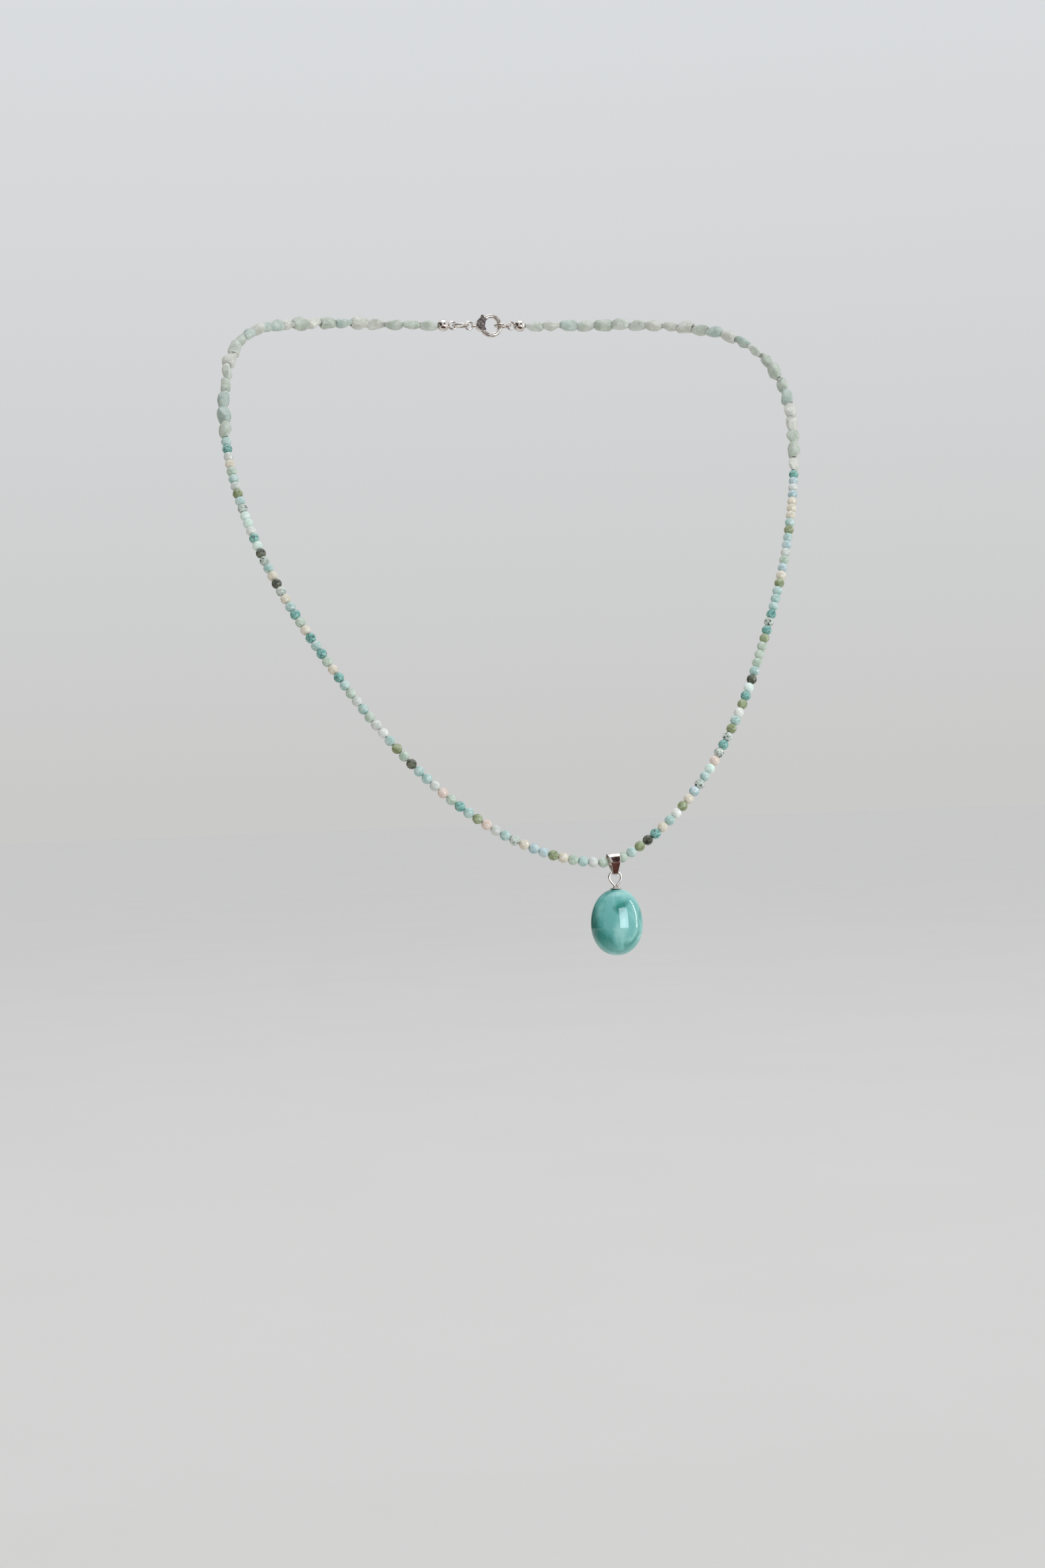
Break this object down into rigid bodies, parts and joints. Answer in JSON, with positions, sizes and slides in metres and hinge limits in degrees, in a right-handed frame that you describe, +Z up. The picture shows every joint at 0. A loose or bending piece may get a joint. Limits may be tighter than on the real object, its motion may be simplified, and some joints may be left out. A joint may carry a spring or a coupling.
{
  "type": "pendant necklace",
  "caption": "Short strand of small faceted stone beads with tumbled nuggets round the back, a lobster clasp, and an oval stone pendant on a folded bail.",
  "frame": {"origin": "middle of the neck opening, level with where the strand crosses the shoulders", "axes": "+Z up, -Y to the front where the pendant hangs, +X to the viewer's right"},
  "size_m": [0.1497, 0.1133, 0.167],
  "materials": {
    "bead_stone": "faceted, polished, mottled blue-green to cream",
    "nugget_stone": "tumbled, satin polish, slightly translucent",
    "pendant_stone": "polished, mottled teal green",
    "silver_tips": "polished silver",
    "silver_rings": "polished silver",
    "silver_clasp": "polished silver, lightly worn",
    "silver_bail": "polished silver",
    "silver_pendant": "polished silver",
    "spring_wire": "drawn steel",
    "coated_wire": "clear-coated cable",
    "cement": "matte"
  },
  "bodies": {
    "strand": {"stringing_wire": "coated_wire", "bead_in_bail": "bead_stone", "beads_left_1": "bead_stone", "beads_left_2": "bead_stone", "beads_left_3": "bead_stone", "beads_left_4": "bead_stone", "beads_left_5": "bead_stone", "beads_left_6": "bead_stone", "beads_left_7": "bead_stone", "beads_right_1": "bead_stone", "beads_right_2": "bead_stone", "beads_right_3": "bead_stone", "beads_right_4": "bead_stone", "beads_right_5": "bead_stone", "beads_right_6": "bead_stone", "nuggets_left_1": "nugget_stone", "nuggets_left_2": "nugget_stone", "nuggets_left_3": "nugget_stone", "nuggets_left_4": "nugget_stone", "nuggets_right_1": "nugget_stone", "nuggets_right_2": "nugget_stone", "nuggets_right_3": "nugget_stone", "nuggets_right_4": "nugget_stone", "bead_tip_left": "silver_tips", "bead_tip_right": "silver_tips", "crimp_left": "silver_tips", "crimp_right": "silver_tips"},
    "bail": {"bail": "silver_bail"},
    "pendant": {"eye_peg": "silver_pendant", "peg_cup": "silver_pendant", "pendant_stone": "pendant_stone", "peg_cement": "cement"},
    "jump_ring": {"jump_ring": "silver_rings"},
    "end_ring": {"end_ring": "silver_rings"},
    "clasp": {"clasp_body": "silver_clasp", "clasp_rivet": "silver_clasp", "lever_spring": "spring_wire"},
    "clasp_lever": {"clasp_lever": "silver_clasp"}
  },
  "joints": [
    {"name": "bail_rock", "type": "hinge", "parent": "strand", "child": "bail", "pos_m": [0.00588, -0.072, -0.13243], "axis": [0.9962, 0, 0.0872], "range_deg": [-90, 90]},
    {"name": "pendant_sway", "type": "hinge", "parent": "bail", "child": "pendant", "pos_m": [0.0061, -0.072, -0.13619], "axis": [0, 1, 0], "range_deg": [-60, 60]},
    {"name": "jump_ring_turn", "type": "hinge", "parent": "strand", "child": "jump_ring", "pos_m": [-0.00225, 0.035, 0.01], "axis": [0, 0, 1], "continuous": true},
    {"name": "end_ring_turn", "type": "hinge", "parent": "strand", "child": "end_ring", "pos_m": [0.0094, 0.035, 0.01], "axis": [0, 0, 1], "continuous": true},
    {"name": "clasp_roll", "type": "hinge", "parent": "strand", "child": "clasp", "pos_m": [0.00005, 0.035, 0.01], "axis": [1, 0, 0], "range_deg": [-30, 30]},
    {"name": "lever_press", "type": "hinge", "parent": "clasp", "child": "clasp_lever", "pos_m": [0.00371, 0.035, 0.01075], "axis": [0, 1, 0], "range_deg": [0, 22], "stiffness_Nm_per_rad": 0.004, "springref_deg": -11.46}
  ]
}
